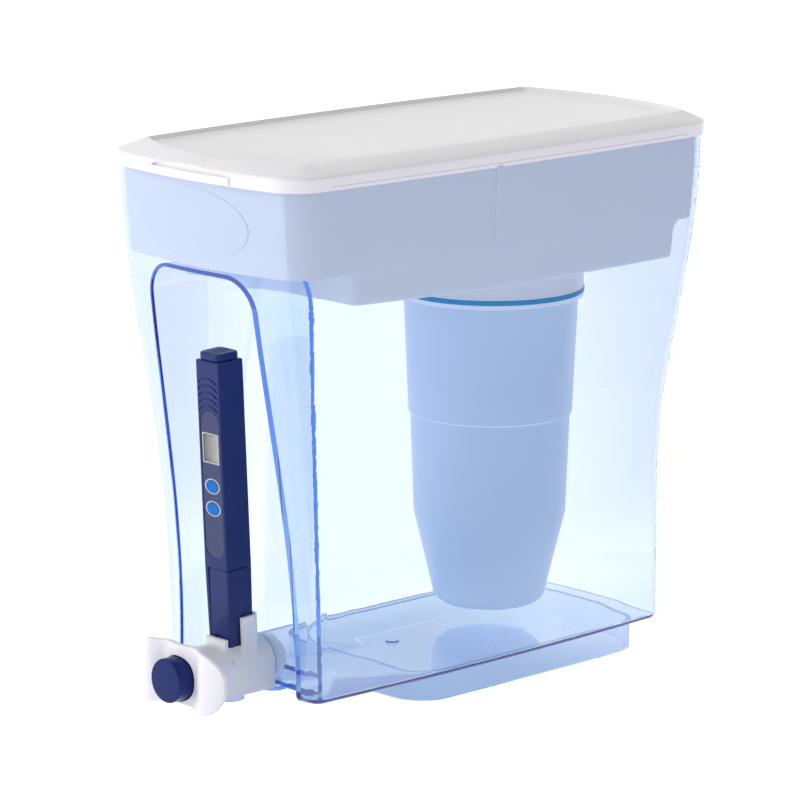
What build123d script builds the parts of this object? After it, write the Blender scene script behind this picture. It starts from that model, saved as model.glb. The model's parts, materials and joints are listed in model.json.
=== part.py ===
from build123d import *
import os

# Gravity water filter with tap, in millimetres. +Z is up, the tap faces -Y and the origin lies
# under the middle of the overall length, on the plane that the foot stands on.

# ---------------------------------------------------------------- overall form
LID_LENGTH = 310.0            # front to back over the lid
LID_WIDTH = 149.8
LID_TOP_Z = 287.0             # overall height
LID_CORNER_R = 20.0
TAP_REACH = 16.3              # how far the tap button stands in front of the lid
LID_Y = TAP_REACH / 2         # middle of the lid and of the tank's rim

# tank
WALL = 2.0                    # moulded wall of the tank
FLOOR = 2.8
FOOT_H = 14.0                 # height of the hollow foot under the floor
RIM_DROP = 10.0               # from the lid's top down to the tank's rim
TANK_UNDER_LID = 1.7          # how far the rim lies inside the lid's outline
BASE_HALF_WIDTH = 61.3        # half width of the tank at its bottom
BASE_FRONT_IN = 28.4          # from the lid's front end back to the tank's bottom front
BASE_BACK_IN = 24.0           # and from its back end forward
BASE_CORNER_R = 8.0
SIDE_BOW = 3.5                # how far the long sides bulge
RIM_END_BOW = 8.5             # how far the ends bulge at the rim
BASE_END_BOW = 5.0
SIDE_FLARE = (100.0, 272.0)   # heights between which each face curves outwards
FRONT_FLARE = (30.0, 280.0)
BACK_FLARE = (90.0, 260.0)
SECTION_STEP = 38.0           # height between the sections that shape the sides
END_STEP = 4.0                # least height between an end and the next section
BASE_EDGE_R = 4.0             # rounding of the tank's lower edge

# foot: an open ring under the floor
FOOT_FRONT_IN = 105.0         # from the lid's front end back to the foot's front
FOOT_BACK_IN = 34.5           # and from its back end forward
FOOT_HALF_WIDTH = 56.1
FOOT_WALL = 2.6
FOOT_CORNER_R = 20.0
FOOT_BACK_BOW = 8.0
FOOT_BOW = 1.0                # bulge of the other three sides

# niche in the front, open at the bottom
NICHE_IN = 45.0               # from the lid's front end back to its back wall
NICHE_UNDER_SHELF = 3.2       # from the reservoir's shallow end down to the arch
NICHE_TOP_HALF = 37.5         # half width just under the arch
NICHE_FOOT_HALF = 44.5
NICHE_ARCH_R = 17.0

# sump around the tap hole
SUMP_HALF = 27.6
SUMP_DEPTH = 25.0             # front to back
SUMP_UNDER_Z = 9.0            # lowest point of its rounded underside

# raised oval on the front, left bare
OVAL_HALF_W = 39.5
OVAL_HALF_H = 18.0
OVAL_DROP = 23.5              # from the rim down to its middle
OVAL_RISE = 0.3

# moulding gate on the floor
GATE_R = 3.7
GATE_H = 0.9
GATE_Y = -17.6                # from the lid's middle

# reservoir
RES_WALL = 2.0
RES_GAP = 0.5                 # to the tank's wall
RES_RIM_T = 2.0
RES_SHALLOW = 45.5            # from the rim down to the underside of the shallow ends
RES_DEEP = 65.5               # and to the underside of the deep middle
RES_DEEP_FRONT_IN = 49.0      # deep middle, from the lid's two ends
RES_DEEP_BACK_IN = 29.5
RES_DEEP_DRAFT = 1.2
RES_DEEP_R = 5.0
RES_DEEP_STEP = 1.5           # how far the deep middle stands in from the shelf
RES_DEEP_BOW = 1.0
RES_DEEP_EDGE_R = 2.0
RES_SLOPE_Y = -8.0            # where its floor starts to climb, from the lid's middle
RES_SLOPE_RISE = 3.4          # and how far it has climbed at the front
RES_STEP_R = 6.0              # curve from the deep middle's back wall out to the shelf
RES_STEP_CURVE = ((1.0, 0.0), (0.5, 0.134), (0.134, 0.5))   # drop and reach, shares of it
RES_RIM_IN = 0.3              # rim flange inside the tank's outline
RES_LINE_W = 1.2              # moulded line down each long side
RES_LINE_D = 0.5
RES_LINE_Y = -14.0            # from the lid's middle

# filter cartridge
FILTER_Y = 53.0               # axis, from the lid's middle
COLLAR_R = 48.6
COLLAR_H = 14.2               # from the reservoir's underside down to the seal
SEAL_R = 49.0
SEAL_T = 2.6
SEAL_EDGE = 0.3               # bevel of its two outer edges
NECK_R = 42.0
NECK_H = 13.0
NECK_FIT = 0.3                # radial, between neck and collar
FLANGE_R = 48.6
FLANGE_T = 2.3
UPPER_TOP_R = 45.8
UPPER_END_R = 43.2
UPPER_END_Z = 130.0
LOWER_R = 42.1
CONE_R = 40.2
CONE_Z = 76.0
TIP_R = 28.5
TIP_Z = 27.0
TIP_ROUND = 7.0
SHELL_T = 1.8
LAP_T = 1.0                   # the two shells overlap in a lap joint
LAP_H = 8.0
SEAM_GAP = 0.5
SLOT_W = 1.6
SCREEN_T = 1.2
MEMBRANE_T = 4.0
CARBON_H = 20.0
FOAM_H = 36.1
FILL_GAP = 0.3
TIP_CLEAR = 1.0               # from the tip's rounding up to the outlet screen
CAP_SLOTS = (0.45, 0.75)      # radii of the inlet cap's slots, as shares of the neck
CAP_SLOT_L = 0.2              # and their length
TIP_SLOT = 0.45               # the same for the outlet slots, as shares of the tip
TIP_SLOT_L = 0.4
THREAD_PITCH = 3.0            # drop of the cartridge in one turn
SLOT_COUNT = 12

# tap
TAP_Z = 25.0                  # axis of button, barrel and stem
SHROUD_R = 13.2
SHROUD_BOTTOM_Z = 12.6
TAP_PLATE_T = 4.5             # plate that closes the shroud's back
WING_HALF_H = 16.5
WING_T = 3.4
WING_EDGE_R = 0.8
WING_Z = 26.0
WING_TIP_R = 14.5
WING_WAIST = 2.5              # how far the lower edge rises between the wings
WING_WAIST_HALF = 17.0
WING_PLANE = 7.6              # from the button's face back to the front of the wings' middle
WING_CURVE = ((0.0, 0.0), (11.5, 1.2), (19.5, -2.2), (26.5, -0.8), (32.2, 3.1))
RECESS_R = 11.9
RECESS_D = 2.6
MARK_Y = -128.9               # small moulded pocket on the shroud's right side
MARK_Z = 30.6
MARK_W = 1.4
MARK_H = 2.6
MARK_IN = 1.9
BUTTON_R = 11.3
BUTTON_FIT = 0.25
BUTTON_L = 17.0
BUTTON_TRAVEL = 6.0
BUTTON_SKIN = 1.8
BUTTON_EDGE_R = 1.0
BARREL_R = 8.6
BARREL_BORE_R = 6.2
BARREL_END_T = 1.6
BARREL_FIT = 0.3
SHOULDER_R = 10.6
SHOULDER_T = 1.5
SPOUT_R = 8.4
SPOUT_BORE_R = 6.9
SPOUT_Z = 8.4
SPOUT_Y = 20.0                # spout axis, forward from the niche's back wall
STEM_R = 1.8
STEM_COLLAR_R = 3.4
STEM_COLLAR_T = 1.0
RUNNING_FIT = 0.05            # radial, between a rod and the piece that carries it
VALVE_R = 8.0
VALVE_T = 3.0
NUT_R = 12.3
NUT_T = 5.0
NUT_SCALLOP_R = 2.0           # finger scallops round the nut
NUT_SCALLOPS = 8
NUT_CLEAR = 1.5               # thread left over behind the nut
BOSS_R = 3.6
BOSS_L = 8.0
GASKET_T = 1.5
GASKET_R = 12.9               # inner gasket
PLATE_GASKET_R = 10.8         # outer gasket, sunk into the shroud's plate
SPRING_R = 4.6
SPRING_WIRE_R = 0.45
SPRING_TURNS = 7

# water meter, built upright on its own axis and then leaned forward
METER_W = 17.4
METER_D = 16.5
METER_R = 1.1
METER_LEAN = 2.77             # degrees, top towards the front
METER_OUT = 17.6              # lower end of its axis, forward from the niche's back wall
METER_Z = 37.1
CAP_L = 39.5                  # lower cap
CAP_TAPER = 0.5
CAP_FLOOR = 2.0
CAP_SIDE_WALL = 1.35
CAP_FRONT_WALL = 1.9
CAP_CHANNEL_W = 12.0          # shallow channel down the cap's front
CAP_CHANNEL = 0.6
CAP_ARCH_H = 6.0              # arched thumb notch at its lower end
CAP_ARCH = 1.3
METER_L = 146.5               # cap and case together, without the top grip
NECK_CORNER_R = 1.4
NECK_LOW = 17.5
NECK_WALL = 1.2
CASE_WALL = 1.3
CASE_EDGE_R = 0.8
PROBE_NECK_GAP = 0.35         # neck of the case inside the cap
PART_GAP = 0.5                # line between cap and case
GRIP_W = 15.4
GRIP_D = 14.6
GRIP_R = 3.2
GRIP_H = 3.5
GRIP_GROOVES = 5
GRIP_GROOVE = 0.9
GRIP_GROOVE_IN = 1.4          # from the grip's front and back to the ends of its grooves
TRAY_W = 12.6
TRAY_WALL = 0.9
TRAY_BELOW_TOP = 18.5
TRAY_GAP = 0.2
TRAY_R = 0.4
GRIP_EDGE_R = 1.0
FACE_W = 13.8
FACE_ABOVE_CAP = 5.6
FACE_BELOW_TOP = 25.2         # from the case's top, as the next heights are too
FACE_T = 0.7
FACE_INSET = 0.2              # face panel behind the front of the case
PANEL_GAP = 0.15
WINDOW_W = 11.0
WINDOW_H = 14.4
WINDOW_BELOW_TOP = 44.5       # to the window's middle
WINDOW_R = 1.0
WINDOW_T = 1.0
BEZEL_OVER = 0.3              # display beyond the window on each side
KEY_HALF_W = 4.5
KEY_HALF_H = 3.2
KEYS_BELOW_TOP = (64.0, 75.5)
KEY_GAP = 0.25
KEY_PROUD = 0.3
KEY_TRAVEL = 0.5
KEY_STROKE_ROOM = 0.3         # left behind a pressed key
KEY_FLANGE = 0.7              # ledge that keeps a key behind the case wall
KEY_FLANGE_T = 0.8
KEY_POST_R = 1.2
SWITCH_R = 2.2
BOARD_T = 1.0
BOARD_W = 11.0
BOARD_ABOVE_CAP = 5.0
BOARD_BELOW_TOP = 23.0
POST_R = 1.6
POST_IN = 8.5                 # posts in from the board's ends
RIDGE_COUNT = 5
RIDGE_PITCH = 3.5
RIDGES_BELOW_TOP = 8.5        # to the highest ridge
RIDGE_R = 0.5
RIDGE_ARC_R = 9.0
CELL_R = 5.8
CELL_T = 4.2
CELL_COUNT = 2
CELL_LINE = 0.1               # gap between the cells
PIN_R = 0.8
PIN_GAP = 5.0
PIN_L = 7.0
PROBE_HOLDER_L = 6.0
PLUG_FLANGE_T = 1.2
KEY_POST_END = -4.0           # depth at which a key's post ends, in front of the switch

# meter holder on the tap
HOLDER_GAP = 0.4
HOLDER_WALL = 2.0
HOLDER_R = 5.0
HOLDER_BACK_H = 14.7
HOLDER_FRONT_H = 4.2
HOLDER_SPLIT = 1.6            # where the tall wall begins, forward of the meter's axis
HOLDER_FRONT_HALF = 7.5       # half width of the low front wall
HOLDER_ROOT = 5.2             # how far the holder runs down into the shroud

# lid
LID_H = 12.1                  # from the skirt's lower edge to the top
LID_EDGE_H = 7.1              # upright part of the skirt, under the sloping shoulder
LID_EDGE_R = 2.0
LID_SKIRT_T = 1.3
LID_PLATE_T = 2.6
LID_SIDE_RIM = 10.9           # from the lid's outline in to the crest round the panel
LID_BACK_RIM = 8.5
LID_FRONT_RIM = 9.0
LID_CREST_W = 0.6
LID_CREST_FRONT_BOW = 15.0
LID_CREST_BACK_BOW = 10.0
LID_CREST_SIDE_BOW = 4.5
LID_CREST_R = 5.0
LID_STEEP = (1.9, 1.5)        # drop and width of the steep edge inside the crest
LID_GENTLE = (0.9, 4.0)       # and of the gentle slope down to the panel
LID_LEDGE = 5.5               # ring on the underside that rests on the reservoir's rim
TAB_HALF_W = 30.0             # finger tab on the front
TAB_OUT = 1.1
TAB_LOW = 0.5                 # its underside and top, above the skirt's lower edge
TAB_HIGH = 4.4
SCOOP_HALF_W = 27.0           # arched finger scoop over the tab
SCOOP_H = 3.2
SCOOP_IN = 1.0
LID_LINE_Z = 1.8              # fine groove above the lower edge of the long sides
LID_LINE = 0.4
LID_NOTCH_W = 5.0             # vent notch in the skirt over the reservoir's line
LID_NOTCH_H = 1.0

# heights and places that follow
RIM_Z = LID_TOP_Z - RIM_DROP
LID_SKIRT_Z = LID_TOP_Z - LID_H
RES_SHELF_Z = RIM_Z - RES_SHALLOW
RES_DEEP_Z = RIM_Z - RES_DEEP
NICHE_TOP_Z = RES_SHELF_Z - NICHE_UNDER_SHELF
OVAL_Z = RIM_Z - OVAL_DROP
FLOOR_Z = FOOT_H + FLOOR
FRONT_Y = LID_Y - LID_LENGTH / 2
BACK_Y = LID_Y + LID_LENGTH / 2
NICHE_WALL_Y = FRONT_Y + NICHE_IN
BUTTON_FACE_Y = FRONT_Y - TAP_REACH
RIM_HALF_WIDTH = LID_WIDTH / 2 - TANK_UNDER_LID
FILTER_AXIS_Y = LID_Y + FILTER_Y
SEAL_TOP_Z = RES_DEEP_Z - COLLAR_H
FLANGE_TOP_Z = SEAL_TOP_Z - SEAL_T
FLANGE_LOW_Z = FLANGE_TOP_Z - FLANGE_T
NECK_TOP_Z = FLANGE_TOP_Z + NECK_H
FOAM_Z = NECK_TOP_Z - SCREEN_T - FOAM_H
CARBON_Z = FOAM_Z - CARBON_H
TIP_INSIDE_Z = TIP_Z + TIP_ROUND + TIP_CLEAR
RESIN_Z = TIP_INSIDE_Z + SCREEN_T + MEMBRANE_T
RES_RIM_TOP_Z = RIM_Z + RES_RIM_T
BORE_R = BUTTON_R + BUTTON_FIT
HUB_Y = BUTTON_FACE_Y + WING_PLANE
TAP_PLATE_Y = NICHE_WALL_Y - TAP_PLATE_T
SPOUT_AXIS_Y = NICHE_WALL_Y - SPOUT_Y
BARREL_FRONT_Y = SPOUT_AXIS_Y - SPOUT_R - BARREL_END_T
NUT_FRONT_Y = NICHE_WALL_Y + WALL + GASKET_T
BARREL_BACK_Y = NUT_FRONT_Y + NUT_T + NUT_CLEAR
BUTTON_FLOOR_Y = BUTTON_FACE_Y + BUTTON_SKIN
CASE_LOW = CAP_L + PART_GAP
CASE_INNER_D = METER_D - 2 * CASE_WALL
NECK_W = METER_W - 2 * (CAP_SIDE_WALL + PROBE_NECK_GAP)
NECK_D = METER_D - 2 * (CAP_FRONT_WALL + PROBE_NECK_GAP)
FRONT_INNER = -METER_D / 2 + CASE_WALL       # inner face of the case's front wall
BOARD_FRONT = -1.0
GRIP_LOW = METER_L + PART_GAP
TRAY_LOW = METER_L - TRAY_BELOW_TOP
FACE_LOW = CAP_L + FACE_ABOVE_CAP
FACE_HIGH = METER_L - FACE_BELOW_TOP
WINDOW_Z = METER_L - WINDOW_BELOW_TOP
KEY_ZS = [METER_L - drop for drop in KEYS_BELOW_TOP]
BOARD_LOW = CAP_L + BOARD_ABOVE_CAP
BOARD_HIGH = METER_L - BOARD_BELOW_TOP
POST_ZS = (BOARD_LOW + POST_IN, BOARD_HIGH - POST_IN)
RIDGES = [METER_L - RIDGES_BELOW_TOP - RIDGE_PITCH * i for i in range(RIDGE_COUNT)]
BOTTOM = (Align.CENTER, Align.CENTER, Align.MIN)
BACKWARDS = (Align.CENTER, Align.MIN, Align.MIN)
FORWARDS = (Align.CENTER, Align.MAX, Align.MIN)


# ---------------------------------------------------------------- shared shapes
def between(low, high, z):
    """Share of the way from low to high, eased at both ends: 3t^2 - 2t^3."""
    t = min(max((z - low) / (high - low), 0.0), 1.0)
    return t * t * (3.0 - 2.0 * t)


def bowed_rectangle(front, back, half_width, front_bow, back_bow, side_bow, radius):
    """Rectangle whose four sides are shallow arcs, with rounded corners; front < back."""
    x = half_width - side_bow
    near = front + front_bow
    far = back - back_bow
    middle = (near + far) / 2
    corners = [(x, near), (x, far), (-x, far), (-x, near)]
    crowns = [(half_width, middle), (0, back), (-half_width, middle), (0, front)]
    edges = []
    for i, crown in enumerate(crowns):
        edges.append(ThreePointArc(corners[i], crown, corners[(i + 1) % 4]))
    face = make_face(Wire(edges))
    return fillet(face.vertices(), radius)


def slab(outline, low, high):
    """Upright prism of an outline between two heights."""
    return extrude(Pos(0, 0, low) * outline, high - low)


def along_y(radius, start, end):
    """Cylinder on the tap's axis from y = start to y = end."""
    plane = Plane(origin=(0, start, TAP_Z), x_dir=(1, 0, 0), z_dir=(0, 1, 0))
    return extrude(plane * Circle(radius), end - start)


def on_y(sketch, start, end):
    """Prism of a sketch drawn in x and z, from y = start to y = end."""
    plane = Plane(origin=(0, end, 0), x_dir=(1, 0, 0), z_dir=(0, -1, 0))
    return extrude(plane * sketch, end - start)


def turned(points):
    """Solid of revolution about the cartridge's axis from (radius, height) points."""
    profile = make_face(Plane.XZ * Polyline(*points, close=True))
    return Pos(0, FILTER_AXIS_Y, 0) * revolve(profile, Axis.Z)


# ---------------------------------------------------------------- tank
def tank_section(z, inset=0.0):
    """Plan outline of the tank at height z, drawn inwards by inset."""
    front_share = between(*FRONT_FLARE, z)
    back_share = between(*BACK_FLARE, z)
    side_share = between(*SIDE_FLARE, z)
    corner_share = between(FOOT_H, RIM_Z, z)
    front = FRONT_Y + BASE_FRONT_IN + (TANK_UNDER_LID - BASE_FRONT_IN) * front_share
    back = BACK_Y - BASE_BACK_IN - (TANK_UNDER_LID - BASE_BACK_IN) * back_share
    half = BASE_HALF_WIDTH + (RIM_HALF_WIDTH - BASE_HALF_WIDTH) * side_share
    front_bow = BASE_END_BOW + (RIM_END_BOW - BASE_END_BOW) * front_share
    back_bow = BASE_END_BOW + (RIM_END_BOW - BASE_END_BOW) * back_share
    rim_r = LID_CORNER_R - TANK_UNDER_LID
    radius = BASE_CORNER_R + (rim_r - BASE_CORNER_R) * corner_share - inset
    return bowed_rectangle(
        front + inset, back - inset, half - inset, front_bow, back_bow, SIDE_BOW, radius)


def tank_loft(low, high, inset):
    """Solid with the tank's curved sides between two heights, drawn inwards by inset."""
    count = int((high - FOOT_H) / SECTION_STEP)
    levels = [FOOT_H + SECTION_STEP * (i + 1) for i in range(count)]
    heights = [low] + [z for z in levels if low + END_STEP < z < high - END_STEP] + [high]
    return loft([Pos(0, 0, z) * tank_section(z, inset) for z in heights])


def niche(grow=0.0):
    """Arch-topped prism that runs forward out of the tank; grow thickens it all round."""
    half_top = NICHE_TOP_HALF + grow
    half_foot = NICHE_FOOT_HALF + grow
    top = NICHE_TOP_Z + grow
    sketch = make_face(Polyline(
        (half_foot, 0), (half_top, top), (-half_top, top), (-half_foot, 0), close=True))
    sketch = fillet(sketch.vertices().sort_by(Axis.Y)[-2:], NICHE_ARCH_R + grow)
    return on_y(sketch, FRONT_Y - NICHE_IN, NICHE_WALL_Y + grow)


def sump(inset):
    """Shallow trough round the tap hole, an arc from side to side, drawn inwards by inset."""
    depth = FLOOR_Z - SUMP_UNDER_Z
    radius = (SUMP_HALF ** 2 + depth ** 2) / (2 * depth)
    sketch = Pos(0, SUMP_UNDER_Z + radius) * Circle(radius - inset)
    sketch &= Pos(0, FLOOR_Z - depth / 2) * Rectangle(2 * SUMP_HALF, depth)
    return on_y(sketch, NICHE_WALL_Y + inset, NICHE_WALL_Y + SUMP_DEPTH - inset)


def foot_outline(inset):
    """Foot ring in plan: rounded front corners and a bulging back."""
    return bowed_rectangle(
        FRONT_Y + FOOT_FRONT_IN + inset, BACK_Y - FOOT_BACK_IN - inset, FOOT_HALF_WIDTH - inset,
        FOOT_BOW, FOOT_BACK_BOW, FOOT_BOW, FOOT_CORNER_R - inset)


def make_tank():
    body = tank_loft(FOOT_H, RIM_Z, 0.0)
    body = fillet(body.edges().group_by(Axis.Z)[0], BASE_EDGE_R)
    body += sump(0.0)
    body += slab(foot_outline(0.0), 0.0, FOOT_H + 1) - slab(foot_outline(FOOT_WALL), 0.0, FOOT_H)
    oval = on_y(Pos(0, OVAL_Z) * Ellipse(OVAL_HALF_W, OVAL_HALF_H), FRONT_Y - NICHE_IN, LID_Y)
    body += oval & tank_loft(OVAL_Z - OVAL_HALF_H - 5, RIM_Z, -OVAL_RISE)
    inside = tank_loft(FLOOR_Z, RIM_Z + 1, WALL) + sump(WALL)
    body -= inside - niche(WALL)
    body -= niche()
    body += Pos(0, LID_Y + GATE_Y, FLOOR_Z) * Cylinder(GATE_R, GATE_H, align=BOTTOM)
    return body - along_y(BARREL_R + BARREL_FIT, NICHE_WALL_Y - 1, NICHE_WALL_Y + WALL + 1)


# ---------------------------------------------------------------- reservoir
def deep_section(z, inset, reach=0.0):
    """Plan outline of the reservoir's deep middle at height z; reach moves its back wall out."""
    draft = RES_DEEP_DRAFT * (RES_SHELF_Z - z) / (RES_SHELF_Z - RES_DEEP_Z) + inset
    flare = between(*SIDE_FLARE, RES_SHELF_Z)
    half = BASE_HALF_WIDTH + (RIM_HALF_WIDTH - BASE_HALF_WIDTH) * flare
    half -= WALL + RES_GAP + RES_DEEP_STEP + draft
    return bowed_rectangle(
        FRONT_Y + RES_DEEP_FRONT_IN + draft, BACK_Y - RES_DEEP_BACK_IN - draft + reach, half,
        RES_DEEP_BOW, RES_DEEP_BOW, SIDE_BOW / 2, RES_DEEP_R - inset)


def deep_middle(inset, lift):
    """Deep middle with a floor that climbs to the front and a back wall curved out to the shelf."""
    low = RES_DEEP_Z + lift
    shelf = RES_SHELF_Z + lift
    levels = [(low, 0.0)]
    for drop, reach in RES_STEP_CURVE:
        levels.append((shelf - RES_STEP_R * drop, RES_STEP_R * reach))
    levels.append((shelf + 0.5, levels[-1][1]))
    body = loft([Pos(0, 0, z) * deep_section(z, inset, reach) for z, reach in levels], ruled=True)
    start = LID_Y + RES_SLOPE_Y
    front = FRONT_Y + RES_DEEP_FRONT_IN
    wedge = make_face(Plane.YZ * Polyline(
        (start, low), (front, low + RES_SLOPE_RISE), (front, low - 1), (start, low - 1), close=True))
    return body - extrude(wedge, LID_WIDTH / 2, both=True)


def reservoir_form(inset, lift):
    """Outer form of the reservoir, or the space inside it once drawn in and lifted."""
    upper = tank_loft(RES_SHELF_Z + lift, RIM_Z + 2 * lift, WALL + RES_GAP + inset)
    return upper + deep_middle(inset, lift)


def make_reservoir():
    body = reservoir_form(0.0, 0.0)
    slope_y = LID_Y + RES_SLOPE_Y
    under = [e for e in body.edges() if e.center().Z < RES_DEEP_Z + RES_SLOPE_RISE + 0.1
             and abs(e.center().Y - slope_y) > 1]
    body = fillet(under, RES_DEEP_EDGE_R)
    body += slab(tank_section(RIM_Z, RES_RIM_IN), RIM_Z, RES_RIM_TOP_Z)
    bore = NECK_R + NECK_FIT
    body += Pos(0, FILTER_AXIS_Y, SEAL_TOP_Z) * Cylinder(
        COLLAR_R, RES_DEEP_Z - SEAL_TOP_Z, align=BOTTOM)
    body -= reservoir_form(RES_WALL, RES_WALL)
    body -= Pos(0, FILTER_AXIS_Y, SEAL_TOP_Z) * Cylinder(bore, RES_SHELF_Z - SEAL_TOP_Z, align=BOTTOM)
    line = Pos(0, LID_Y + RES_LINE_Y, RES_SHELF_Z) * Box(
        LID_WIDTH, RES_LINE_W, RIM_Z - RES_SHELF_Z, align=BOTTOM)
    skin = tank_loft(RES_SHELF_Z, RIM_Z, 0.0) - tank_loft(
        RES_SHELF_Z, RIM_Z, WALL + RES_GAP + RES_LINE_D)
    return body - (line & skin)


# ---------------------------------------------------------------- lid
def lid_outline(inset):
    return bowed_rectangle(
        FRONT_Y + inset, BACK_Y - inset, LID_WIDTH / 2 - inset,
        RIM_END_BOW, RIM_END_BOW, SIDE_BOW, LID_CORNER_R - inset)


def crest_outline(inset):
    """Outline of the crest round the lid's panel, drawn inwards by inset."""
    return bowed_rectangle(
        FRONT_Y + LID_FRONT_RIM + inset, BACK_Y - LID_BACK_RIM - inset,
        LID_WIDTH / 2 - LID_SIDE_RIM - inset,
        LID_CREST_FRONT_BOW, LID_CREST_BACK_BOW, LID_CREST_SIDE_BOW, LID_CREST_R)


def make_lid():
    edge_z = LID_SKIRT_Z + LID_EDGE_H
    body = slab(lid_outline(0.0), LID_SKIRT_Z, edge_z)
    body += loft([Pos(0, 0, edge_z) * lid_outline(0.0), Pos(0, 0, LID_TOP_Z) * crest_outline(0.0)])
    ring = [e for e in body.edges() if abs(e.center().Z - edge_z) < LID_LINE]
    body = fillet(ring, LID_EDGE_R)
    tab = slab(lid_outline(-TAB_OUT), LID_SKIRT_Z + TAB_LOW, LID_SKIRT_Z + TAB_HIGH)
    body += tab & Pos(0, FRONT_Y, LID_SKIRT_Z) * Box(
        2 * TAB_HALF_W, 2 * RIM_END_BOW, LID_H, align=BOTTOM)
    arch = Pos(0, LID_SKIRT_Z + TAB_HIGH) * Ellipse(SCOOP_HALF_W, SCOOP_H)
    arch &= Pos(0, LID_SKIRT_Z + TAB_HIGH + SCOOP_H) * Rectangle(2 * SCOOP_HALF_W, 2 * SCOOP_H)
    body -= on_y(arch, FRONT_Y - TAB_OUT, FRONT_Y + RIM_END_BOW) - slab(
        lid_outline(SCOOP_IN), LID_SKIRT_Z, LID_TOP_Z)
    floor_z = LID_TOP_Z - LID_STEEP[0] - LID_GENTLE[0]
    steep_in = LID_CREST_W + LID_STEEP[1]
    body -= loft([Pos(0, 0, floor_z + LID_GENTLE[0]) * crest_outline(steep_in),
                  Pos(0, 0, LID_TOP_Z) * crest_outline(LID_CREST_W)])
    body -= loft([Pos(0, 0, floor_z) * crest_outline(steep_in + LID_GENTLE[1]),
                  Pos(0, 0, floor_z + LID_GENTLE[0]) * crest_outline(steep_in)])
    body -= slab(lid_outline(LID_SKIRT_T), LID_SKIRT_Z, RES_RIM_TOP_Z)
    body -= slab(lid_outline(LID_SKIRT_T + LID_LEDGE), RES_RIM_TOP_Z - 1, floor_z - LID_PLATE_T)
    for side in (-1, 1):
        groove = Pos(side * LID_WIDTH / 2, LID_Y, LID_SKIRT_Z + LID_LINE_Z) * Box(
            2 * SIDE_BOW, LID_LENGTH - 3 * LID_CORNER_R, LID_LINE, align=BOTTOM)
        body -= groove - slab(lid_outline(LID_LINE), LID_SKIRT_Z, LID_TOP_Z)
        body -= Pos(side * LID_WIDTH / 2, LID_Y + RES_LINE_Y, LID_SKIRT_Z) * Box(
            3 * LID_SKIRT_T, LID_NOTCH_W, LID_NOTCH_H, align=BOTTOM)
    return body


# ---------------------------------------------------------------- filter cartridge
def make_filter_seal():
    inner = NECK_R + 2 * NECK_FIT
    return turned([
        (inner, FLANGE_TOP_Z), (SEAL_R - SEAL_EDGE, FLANGE_TOP_Z),
        (SEAL_R, FLANGE_TOP_Z + SEAL_EDGE), (SEAL_R, SEAL_TOP_Z - SEAL_EDGE),
        (SEAL_R - SEAL_EDGE, SEAL_TOP_Z), (inner, SEAL_TOP_Z)])


def make_upper_shell():
    lap_r = UPPER_END_R - LAP_T
    return turned([
        (UPPER_END_R, UPPER_END_Z), (UPPER_TOP_R, FLANGE_LOW_Z), (FLANGE_R, FLANGE_LOW_Z),
        (FLANGE_R, FLANGE_TOP_Z), (NECK_R, FLANGE_TOP_Z), (NECK_R, NECK_TOP_Z),
        (NECK_R - SHELL_T, NECK_TOP_Z), (NECK_R - SHELL_T, FLANGE_LOW_Z - SHELL_T),
        (lap_r, UPPER_END_Z + LAP_H + 1), (lap_r, UPPER_END_Z)])


def make_lower_shell():
    lap_r = UPPER_END_R - LAP_T - NECK_FIT
    lap_top = UPPER_END_Z + LAP_H
    step_z = UPPER_END_Z - SEAM_GAP
    outside = make_face(Plane.XZ * Polyline(
        (0, TIP_Z), (TIP_R, TIP_Z), (CONE_R, CONE_Z), (LOWER_R, step_z), (lap_r, step_z),
        (lap_r, lap_top), (0, lap_top), close=True))
    inside = make_face(Plane.XZ * Polyline(
        (0, TIP_Z + SHELL_T), (TIP_R - SHELL_T, TIP_Z + SHELL_T), (CONE_R - SHELL_T, CONE_Z),
        (lap_r - LAP_T, step_z), (lap_r - LAP_T, lap_top), (0, lap_top), close=True))
    outside = fillet(outside.vertices().sort_by_distance((TIP_R, 0, TIP_Z))[0], TIP_ROUND)
    inside = fillet(inside.vertices().sort_by_distance((TIP_R, 0, TIP_Z))[0], TIP_ROUND - SHELL_T)
    body = Pos(0, FILTER_AXIS_Y, 0) * revolve(outside - inside, Axis.Z)
    for i in range(SLOT_COUNT):
        slot = Rot(0, 0, 360 / SLOT_COUNT * i) * Pos(TIP_R * TIP_SLOT, 0, TIP_Z) * Box(
            TIP_R * TIP_SLOT_L, SLOT_W, 3 * SHELL_T)
        body -= Pos(0, FILTER_AXIS_Y, 0) * slot
    return body


def make_inlet_cap():
    body = turned([(0, NECK_TOP_Z), (NECK_R, NECK_TOP_Z), (NECK_R, NECK_TOP_Z + SHELL_T),
                   (0, NECK_TOP_Z + 2 * SHELL_T)])
    for i in range(SLOT_COUNT):
        for share in CAP_SLOTS:
            slot = Rot(0, 0, 360 / SLOT_COUNT * i) * Pos(NECK_R * share, 0, NECK_TOP_Z) * Box(
                NECK_R * CAP_SLOT_L, 2 * SLOT_W, 6 * SHELL_T)
            body -= Pos(0, FILTER_AXIS_Y, 0) * slot
    return body


def fill_radius(z):
    """Radius of the fill at height z, a little inside the housing."""
    tip = TIP_R - SHELL_T - FILL_GAP
    cone = CONE_R - SHELL_T - FILL_GAP
    top = UPPER_END_R - 2 * LAP_T - NECK_FIT - FILL_GAP
    if z < CONE_Z:
        return tip + (cone - tip) * max(z - TIP_Z - TIP_ROUND, 0) / (CONE_Z - TIP_Z - TIP_ROUND)
    return min(cone, top)


def fill_layer(low, high):
    """One layer of the fill between two heights."""
    heights = [low] + [CONE_Z] * (low < CONE_Z < high) + [high]
    return turned([(0, low)] + [(fill_radius(z), z) for z in heights] + [(0, high)])


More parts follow.
